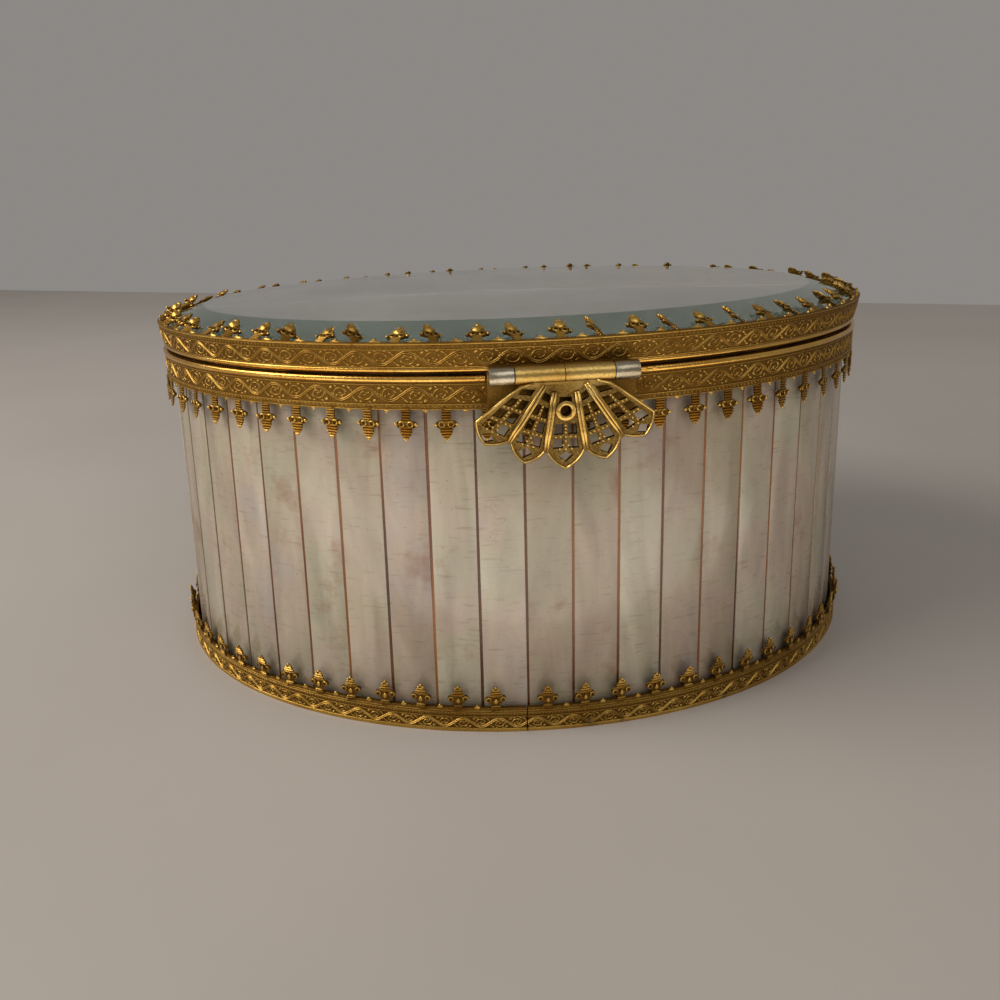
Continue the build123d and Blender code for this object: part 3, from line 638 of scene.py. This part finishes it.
# Blobs of solder on the moulding. The photo shows those right of the hasp, and the left one
# is a guess.
blobs = []
for x, out, z, size, stretch in (
        (11.9, 0.12, 56.15, 0.55, (2.4, 0.6, 0.8)), (13.6, 0.12, 56.2, 0.4, (2.2, 0.5, 0.7)),
        (-11.5, 0.1, 56.1, 0.4, (1.8, 0.6, 0.8))):
    y = -half_width * math.sqrt(1 - (x / half_length) ** 2) - out
    blobs.append(bead((x, y, z), size, stretch))
solder = joined("moulding_solder", blobs)
modify(solder, "SUBSURF", levels=2, render_levels=2)
note(solder, "relief", [1.0] * len(solder.data.vertices))
for piece in (mouth, solder):
    smooth(piece, 60)
    dress(burnished_gilt, piece.name)
    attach(piece, "base")
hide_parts("mouth_wire")

# Dull brass of the inside: brown, finely scratched, with darker tarnish in patches of 8 mm.
dull_brass, tree = material_tree("tarnished_brass")
place = add(tree, "ShaderNodeTexCoord").outputs["Object"]
cloud = add(tree, "ShaderNodeTexNoise", {
    "Vector": place, "Scale": 120, "Detail": 5, "Roughness": 0.6}).outputs[0]
grit = add(tree, "ShaderNodeTexNoise", {"Vector": place, "Scale": 2500, "Detail": 3}).outputs[0]
tone = add(tree, "ShaderNodeValToRGB", {0: cloud}, [(0.35, "#3d2c15"), (0.68, "#93713a")])
rough = add(tree, "ShaderNodeMapRange", {"Value": cloud, 3: 0.6, 4: 0.38})
bump = add(tree, "ShaderNodeBump", {"Height": grit, "Strength": 0.3, "Distance": 0.05 * mm})
shader = add(tree, "ShaderNodeBsdfPrincipled", {
    "Base Color": tone.outputs[0], "Roughness": rough.outputs[0], "Normal": bump.outputs[0],
    "Metallic": 1.0})
add(tree, "ShaderNodeOutputMaterial", {"Surface": shader.outputs[0]})
dress(dull_brass, "mouth_ring", "foot_hoop", "catch_stud")


# ---- Catch plate and lid hinge ----
# A plain gilt plate is soldered over the front of the upper band, and the lid turns on a
# barrel hinge of three knuckles at the back. Their edges are filed a little round.
def filed_copy(node, name, body, finish, round_over, proud=0.14):
    """A copy of a CAD node with filed edges, which rides and takes its finish as the node does."""
    piece = merged_copy(node, name)
    modify(piece, "BEVEL", width=round_over * mm, segments=2, limit_method="ANGLE",
           angle_limit=math.radians(28))
    # The relief noted here sets how much of the recess colour, grime and painted shade, the piece
    # takes.
    note(piece, "relief", [proud] * len(piece.data.vertices))
    smooth(piece, 40)
    dress(finish, name)
    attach(piece, body)
    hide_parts(node)
    return piece


# The catch plate is noted barely above its ground, so it is painted dark: painted shade behind the fan.
filed_copy("catch_plate", "catch_plate_filed", "base", stamped_gilt, 0.08, 0.03)
filed_copy("hinge_base_leaf", "hinge_base_leaf_filed", "base", burnished_gilt, 0.08)
filed_copy("hinge_lid_leaf", "hinge_lid_leaf_filed", "lid", burnished_gilt, 0.08)

# Drawn steel wire of the pins: grey, with fine drawing lines along X.
steel, tree = material_tree("drawn_steel_wire")
place = add(tree, "ShaderNodeTexCoord").outputs["Object"]
drawn = add(tree, "ShaderNodeMapping", {"Vector": place, "Scale": (0.03, 1, 1)})
lines = add(
    tree, "ShaderNodeTexNoise", {"Vector": drawn.outputs[0], "Scale": 4000, "Detail": 2}).outputs[0]
tone = add(tree, "ShaderNodeValToRGB", {0: lines}, [(0.35, "#57544e"), (0.7, "#8b8881")])
surface = {"Base Color": tone.outputs[0], "Roughness": 0.35, "Metallic": 1.0}
shader = add(tree, "ShaderNodeBsdfPrincipled", surface)
add(tree, "ShaderNodeOutputMaterial", {"Surface": shader.outputs[0]})
dress(steel, "hasp_pin", "hinge_pin")


# ---- Floor pad ----
# Cream silk over cotton wadding on the board, cut to the oval and pressed in by hand. It is
# puffed up by cloth simulation, and the wadding makes its low crown.
pad = merged_copy("floor_pad", "silk_floor_pad")
low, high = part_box("floor_pad")
cut_size, puff_frames = (0.985, 0.985, 0.86), 20
bpy.ops.object.mode_set(mode="EDIT")
bpy.ops.mesh.select_all(action="SELECT")
bpy.ops.transform.resize(value=cut_size, center_override=(0, 0, low.z))
bpy.ops.object.mode_set(mode="OBJECT")
modify(pad, "REMESH", mode="VOXEL", voxel_size=1.4 * mm)
start = [v.co.copy() for v in pad.data.vertices]
only(pad)
puff = pad.modifiers.new("puff", "CLOTH")
puff.settings.use_pressure = True
puff.settings.uniform_pressure_force = 4
puff.settings.effector_weights.gravity = 0
puff.settings.quality = 4
puff.point_cache.frame_start, puff.point_cache.frame_end = 1, puff_frames
for step in range(1, puff_frames + 1):
    bpy.context.scene.frame_set(step)
bpy.ops.object.modifier_apply(modifier=puff.name)
bpy.context.scene.frame_set(1)
most = 0.9 * mm
for v, before in zip(pad.data.vertices, start):
    moved = v.co - before
    if moved.length > most:
        v.co = before + moved * (most / moved.length)
    reach = math.hypot(v.co.x / high.x, v.co.y / high.y)
    if reach > 1:
        v.co.x, v.co.y = v.co.x / reach, v.co.y / reach
    v.co.z = max(low.z, v.co.z)
modify(pad, "SUBSURF", levels=1, render_levels=1)
smooth(pad, 80)

# Cream silk satin: threads 0.35 and 0.6 mm apart, drawn coarser than real, with a soft sheen,
# and darker, yellower where its folds lie low.
silk, tree = material_tree("cream_silk_satin")
place = add(tree, "ShaderNodeTexCoord").outputs["Object"]
warp = add(tree, "ShaderNodeTexWave", {
    "Vector": place, "Scale": 900, "Distortion": 0.4}, bands_direction="X")
weft = add(tree, "ShaderNodeTexWave", {
    "Vector": place, "Scale": 500, "Distortion": 0.4}, bands_direction="Y")
both = {0: warp.outputs["Fac"], 1: weft.outputs["Fac"]}
threads = add(tree, "ShaderNodeMath", both, operation="MAXIMUM").outputs[0]
folds = add(tree, "ShaderNodeTexNoise", {
    "Vector": place, "Scale": 70, "Detail": 4, "Distortion": 0.8}).outputs[0]
tone = add(tree, "ShaderNodeValToRGB", {0: folds}, [(0.3, "#a89878"), (0.7, "#cfc3a8")])
height = add(
    tree, "ShaderNodeMath", {0: threads, 1: 0.12, 2: folds}, operation="MULTIPLY_ADD").outputs[0]
bump = add(tree, "ShaderNodeBump", {"Height": height, "Strength": 0.5, "Distance": 0.6 * mm})
shader = add(tree, "ShaderNodeBsdfPrincipled", {
    "Base Color": tone.outputs[0], "Normal": bump.outputs[0], "Roughness": 0.55,
    "Sheen Weight": 0.4, "Sheen Roughness": 0.4})
add(tree, "ShaderNodeOutputMaterial", {"Surface": shader.outputs[0]})
dress(silk, "silk_floor_pad")
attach(pad, "base")
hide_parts("floor_pad")


# ---- Lid glass and its seat ----
# A heavy oval of plate glass, ground and polished to a wide bevel, slightly green through its
# thickness. It lies on a plain brass seat inside the lid band.
dress(dull_brass, "glass_seat")
low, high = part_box("lid_glass")
bevel_width, edge_height, arris = 6.8 * mm, 1.9 * mm, 0.12 * mm
bpy.ops.object.select_all(action="DESELECT")
bpy.ops.mesh.primitive_circle_add(vertices=256, radius=1, fill_type="NGON", location=(0, 0, low.z))
glass = bpy.context.object
glass.name = "bevelled_glass"
glass.scale = (high.x, high.y, 1)
bpy.ops.object.transform_apply(location=True, rotation=True, scale=True)
bpy.ops.object.mode_set(mode="EDIT")
bpy.ops.mesh.select_all(action="SELECT")
for rise, shrink in ((edge_height, 0), (high.z - low.z - edge_height, bevel_width)):
    bpy.ops.mesh.extrude_region_move(TRANSFORM_OT_translate={"value": (0, 0, rise)})
    factor = ((high.x - shrink) / high.x, (high.y - shrink) / high.y, 1)
    bpy.ops.transform.resize(value=factor, center_override=(0, 0, 0))
bpy.ops.mesh.select_all(action="SELECT")
bpy.ops.mesh.normals_make_consistent(inside=False)
bpy.ops.object.mode_set(mode="OBJECT")
modify(glass, "BEVEL", width=arris, segments=2, limit_method="ANGLE", angle_limit=math.radians(12))
smooth(glass, 8)

# Old plate glass: clear, greener through the bevel, with hairline scratches and a film of dust
# on the flat.
clear_glass, tree = material_tree("polished_plate_glass")
place = add(tree, "ShaderNodeTexCoord").outputs["Object"]
facing = add(tree, "ShaderNodeTexCoord").outputs["Normal"]
upward = add(tree, "ShaderNodeSeparateXYZ", {0: facing}).outputs[2]
level = add(tree, "ShaderNodeMath", {0: upward}, operation="ABSOLUTE").outputs[0]
flat = add(tree, "ShaderNodeMapRange", {"Value": level, 1: 0.975, 2: 0.995}).outputs[0]
hairs = add(tree, "ShaderNodeTexNoise", {"Vector": place, "Scale": 900, "Detail": 4}).outputs[0]
rub = add(tree, "ShaderNodeMapRange", {"Value": hairs, 1: 0.45, 2: 0.75, 3: 0.0, 4: 0.05})
tint = add(tree, "ShaderNodeMix", {
    0: flat, 6: colour("#a4c8bb"), 7: colour("#e9f3ee")}, data_type="RGBA")
shader = add(tree, "ShaderNodeBsdfPrincipled", {
    "Base Color": tint.outputs[2], "Roughness": rub.outputs[0], "IOR": 1.52,
    "Transmission Weight": 1.0})
dust = add(tree, "ShaderNodeTexNoise", {"Vector": place, "Scale": 60, "Detail": 5}).outputs[0]
settled = add(tree, "ShaderNodeMapRange", {"Value": dust, 1: 0.3, 2: 0.7, 3: 0.07, 4: 0.14}).outputs[0]
film = add(tree, "ShaderNodeMath", {0: flat, 1: settled}, operation="MULTIPLY").outputs[0]
haze = add(tree, "ShaderNodeBsdfDiffuse", {"Color": colour("#cfccc4")}).outputs[0]
blend = add(tree, "ShaderNodeMixShader", {0: film, 1: shader.outputs[0], 2: haze})
add(tree, "ShaderNodeOutputMaterial", {"Surface": blend.outputs[0]})
dress(clear_glass, "bevelled_glass")
# Clear glass lets the lamps light the inside of the box.
glass.visible_shadow = False
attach(glass, "lid")
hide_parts("lid_glass")


# ---- Lid band ----
# A third strip of the gallery, flared towards the top. Its fleurs are bent in over the bevel
# of the glass as claws, each turned its own way, with ball-tipped points between them.
lid_reach = Vector((half_length - 0.2, half_width - 0.2)) * mm
lid_foot, lid_height, flare = 57.1, 4.4, 0.9
lid_section = [
    (-0.9, 0.0), (0.0, 0.0), (0.0, 0.66), (0.1, 0.72), (0.1, 0.82), (0.0, 0.88), (0.0, 3.28),
    (0.1, 3.33), (0.1, 3.42), (0.0, 3.47), (0.0, 4.02), (0.12, 4.08), (0.12, 4.2), (0.02, 4.28),
    (-0.1, 4.4), (-0.9, 4.4), (-0.9, 0.0)]
tile = stamped_tile("lid_gallery_band", upper_pitch, [(n - 0.02, z + lid_foot) for n, z in lid_section],
                    (lid_foot + 2.08, 1.02, 0.0), (lid_foot + 3.74, 0.14, 0.0))
crest_pitch = girth(lid_reach) / fleur_count
repeated(tile, upper_pitch, upper_count, -1.5 * crest_pitch)
depth_note(tile, -0.02)
crest_foot = lid_foot + lid_height - 0.35
for v in tile.data.vertices:
    v.co.y -= flare * (v.co.z - lid_foot * mm) / lid_height
places = []
for k in range(fleur_count):
    spot = Matrix.Translation((crest_pitch * k, -0.32 * mm, crest_foot * mm))
    even = k % 2 == 0
    turned = Matrix.Rotation(math.radians(chance.uniform(-12, 12) + (0 if even else 22)), 4, "Z")
    leaned = Matrix.Rotation(math.radians(-(64 if even else 60) + chance.uniform(-5, 5)), 4, "X")
    rolled = Matrix.Rotation(math.radians(chance.uniform(-8, 8) + (0 if even else 18)), 4, "Z")
    places.append(spot @ turned @ leaned @ rolled)
point = joined("crest_point", [bead((0, 0.02, 0.0), 0.9, (1.25, 0.3, 0.42)), bead((0, 0, 0.48), 0.23)])
note(point, "relief", [0.2] * len(point.data.vertices))
shifted = [
    Matrix.Translation((crest_pitch * k, -0.5 * mm, crest_foot * mm + 0.3 * mm))
    for k in range(fleur_count + 1)]
between = copies(point, [
    Matrix.Translation((a.translation + b.translation) / 2) for a, b in zip(shifted, shifted[1:])])
lid_strip = joined("lid_gallery_band", [tile] + copies(claw, places) + between)
bent_round(lid_strip, lid_reach)
smooth(lid_strip, 40)
dress(stamped_gilt, "lid_gallery_band")
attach(lid_strip, "lid")
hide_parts("lid_band")

# A smooth moulding finishes the foot of the lid band.
lid_moulding = moulding(
    "lid_moulding", lid_reach, lid_foot, lid_foot + 0.65, 0.2, 0.01, hinge_reach, 0.02)
dress(burnished_gilt, "lid_moulding")
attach(lid_moulding, "lid")
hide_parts("lid_wire")


# ---- Fan hasp ----
# A cast fan of gilt brass, pierced between its ribs, hangs from two tubes on the front pin.
# Its rim and double ribs are wires, and beads of granulation line the webs.
fan_y, socket_z = -51.91, 51.65
fan_front = fan_y - 0.7
fan = merged_copy("fan_hasp", "fan_hasp_cast")
modify(fan, "BEVEL", width=0.07 * mm, segments=1, limit_method="ANGLE", angle_limit=math.radians(30))
# Painted shade: the web's back and the walls of its piercings are noted below the ground and take the
# full recess colour. Its front, low between the wires, takes grime and painted shade.
depths = []
for v in fan.data.vertices:
    web = v.co.z < 55.3 * mm
    depths.append((0.04 if v.co.y < (fan_front + 0.1) * mm else -0.1) if web else 0.14)
note(fan, "relief", depths)
smooth(fan, 35)


def fan_wire(name, points, radius, lift):
    """A wire laid on the front of the fan, through points given from the socket's middle."""
    line = wire(name, [(x, fan_front - lift, socket_z + z) for x, z in points], radius, 1)
    note(line, "relief", [0.3] * len(line.data.vertices))
    return line


shoulder, side_tip, outer_tip, outer_notch = (6.3, 3.8), (12.7, -0.95), (11.5, -4.3), (7.9, -3.9)
middle_tip, inner_notch, centre_tip = (6.0, -7.35), (2.82, -5.55), (0, -8.55)
outer_top, inner_top = (2.95, 3.6), (1.6, 2.5)


def swept(start, end, bulge):
    """Points of a lobe's edge: an arc from start to end that swells outwards."""
    line = Vector(end) - Vector(start)
    out = Vector((-line.y, line.x)).normalized()
    return [
        tuple(Vector(start) + line * s + out * bulge * 4 * s * (1 - s)) for s in (0, 0.25, 0.5, 0.75)]


edge = [(4.5, 4.1), shoulder, tuple((Vector(shoulder) + Vector(side_tip)) / 2)]
lobes = ((side_tip, outer_tip, 0.35), (outer_tip, outer_notch, 0.3), (outer_notch, middle_tip, 0.45),
         (middle_tip, inner_notch, 0.45), (inner_notch, centre_tip, 0.45))
for start, end, bulge in lobes:
    edge += [start, start] + swept(start, end, bulge)[1:]
edge.append(centre_tip)
parts = []
for side in (-1, 1):
    rim = [(side * x * 0.985, z * 0.985 + 0.05) for x, z in edge]
    parts.append(fan_wire("rim", rim, 0.2, 0.05))
    for top, notch in ((inner_top, inner_notch), (outer_top, outer_notch)):
        run = Vector(notch) - Vector(top)
        across = Vector((-run.y, run.x)).normalized() * 0.25
        for offset in (-1, 1):
            ends = [
                Vector(top) - run * 0.02 + across * offset * 0.8,
                Vector(top) + run * 0.5 + across * offset,
                Vector(notch) + across * offset * 0.7 + run * 0.04]
            parts.append(fan_wire("rib", [(side * p.x, p.y) for p in ends], 0.2, 0.2))

# Granulation: balls in lines down the middle of each lobe, and round the ends of its webs.
lobe_lines = {
    "centre": (
        (-inner_top[0], inner_top[1]), (-inner_notch[0], inner_notch[1]), inner_top, inner_notch),
    "middle": (inner_top, inner_notch, outer_top, outer_notch),
    "outer": (outer_top, outer_notch, shoulder, side_tip)}
grains = []
for name, (left_top, left_low, right_top, right_low) in lobe_lines.items():
    for side in (-1, 1) if name != "centre" else (1,):
        spots = [(u, v) for v in (0.5, 0.78) for u in (-0.55, -0.28, 0, 0.28, 0.55)]
        spots += [(0, v) for v in (0.3, 0.36, 0.42, 0.58, 0.64, 0.7)]
        spots += [(u, 1.0) for u in (-0.3, 0, 0.3)] + [(-0.14, 0.93), (0.14, 0.93), (0, 0.86)]
        for u, v in spots:
            if name == "centre" and v < 0.55:
                continue
            share = (1 + u) / 2
            left = Vector(left_top).lerp(Vector(left_low), v)
            right = Vector(right_top).lerp(Vector(right_low), v)
            spot = left.lerp(right, share)
            grains.append(bead((side * spot.x, fan_front - 0.04, socket_z + spot.y), 0.2, (1, 0.8, 1)))
granules = joined("granules", grains)
note(granules, "relief", [0.3] * len(granules.data.vertices))
for line in parts + [granules]:
    smooth(line, 60)
fan = joined("fan_hasp_cast", [fan] + parts + [granules])
closed(fan)

# Cast gilt brass of the hasp: paler and more rubbed than the strips, with painted shade in every
# piercing.
cast_gilt = gilt(
    "cast_gilt_brass", "#eccb7c", "#cda455", "#4a3413", "#3f382b", rough=0.3, relief_to=0.2)
dress(cast_gilt, "fan_hasp_cast")
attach(fan, "hasp")
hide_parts("fan_hasp")

socket = filed_copy("hasp_socket", "hasp_socket_turned", "hasp", cast_gilt, 0.07, 0.3)
# Inside its bore the socket is noted below the ground, so the bore is painted dark as painted shade.
for v, value in zip(socket.data.vertices, socket.data.attributes["relief"].data):
    inside = math.hypot(v.co.x, v.co.z - socket_z * mm) < 0.84 * mm
    value.value = -0.15 if inside and v.co.y > (fan_front - 0.22) * mm else 0.3

# The two end knuckles have lost their gilding and show silvery, rubbed plating.
worn_plating = gilt(
    "worn_silvered_brass", "#cfc6b2", "#8f7f5f", "#2c2013", "#3f382b", rough=0.3, relief_to=0.14)
filed_copy(
    "hasp_knuckle_left", "hasp_knuckle_left_worn", "lid", worn_plating, 0.1)
filed_copy(
    "hasp_knuckle_right", "hasp_knuckle_right_worn", "lid", worn_plating, 0.1)


# ---- Floor, light and camera ----
# The box stands on a plain grey-beige table in soft light from a window on the left.
table_top, tree = material_tree("matt_painted_table")
place = add(tree, "ShaderNodeTexCoord").outputs["Object"]
mottle = add(tree, "ShaderNodeTexNoise", {"Vector": place, "Scale": 9, "Detail": 4})
tone = add(tree, "ShaderNodeValToRGB", {0: mottle.outputs[0]}, [(0.3, "#b3aca5"), (0.7, "#bbb4ad")])
shader = add(tree, "ShaderNodeBsdfPrincipled", {"Base Color": tone.outputs[0], "Roughness": 0.55})
add(tree, "ShaderNodeOutputMaterial", {"Surface": shader.outputs[0]})
bpy.ops.object.select_all(action="DESELECT")
bpy.ops.mesh.primitive_plane_add(size=4, location=(-0.766, -1.31, 0), rotation=(0, 0, -0.53))
floor = bpy.context.object
bpy.ops.object.transform_apply(location=True, rotation=True, scale=True)
floor.name = "table_top"
dress(table_top, "table_top")


def lamp(name, place, target, size, power, tint="#ffffff"):
    """A rectangular soft lamp that the camera doesn't see."""
    data = bpy.data.lights.new(name, "AREA")
    data.shape = "RECTANGLE"
    data.size, data.size_y = size
    data.energy = power
    data.color = colour(tint)[:3]
    holder = bpy.data.objects.new(name, data)
    bpy.context.scene.collection.objects.link(holder)
    holder.location = place
    holder.rotation_euler = (Vector(target) - Vector(place)).to_track_quat("-Z", "Y").to_euler()
    holder.visible_camera = False


lamp("window", (-0.6, -0.1, 0.45), (0, 0, 0.03), (0.5, 0.5), 4.0, "#fffaf3")
lamp("room", (0.3, -0.8, 0.8), (0, 0, 0.03), (0.9, 0.6), 2.2)
lamp("table_glow", (-0.05, -0.13, 0.002), (-0.05, -0.13, 0.06), (0.34, 0.12), 0.17, "#fff6ea")
world = bpy.data.worlds.new("studio")
bpy.context.scene.world = world
world.use_nodes = True
world.node_tree.nodes["Background"].inputs["Color"].default_value = colour("#b7b3af")
world.node_tree.nodes["Background"].inputs["Strength"].default_value = 0.55

# The camera stands close, left of the middle and a little above the lid.
yaw, pitch, roll = 0.065, 0.226, -0.042
ahead = Vector((math.sin(yaw) * math.cos(pitch), math.cos(yaw) * math.cos(pitch), -math.sin(pitch)))
level_right = Vector((math.cos(yaw), -math.sin(yaw), 0))
level_up = level_right.cross(ahead)
right = math.cos(roll) * level_right + math.sin(roll) * level_up
up = -math.sin(roll) * level_right + math.cos(roll) * level_up
camera = bpy.data.objects.new("camera", bpy.data.cameras.new("camera"))
bpy.context.scene.collection.objects.link(camera)
turn = Matrix((right, up, -ahead)).transposed().to_4x4()
camera.matrix_world = Matrix.Translation((-0.026149, -0.167648, 0.081525)) @ turn
camera.data.sensor_width = 36
camera.data.lens = 36 * 0.866355
camera.data.shift_x, camera.data.shift_y = 0.0693, -0.1057
camera.data.clip_start = 0.001
bpy.context.scene.camera = camera
bpy.context.scene.view_settings.view_transform = "Standard"
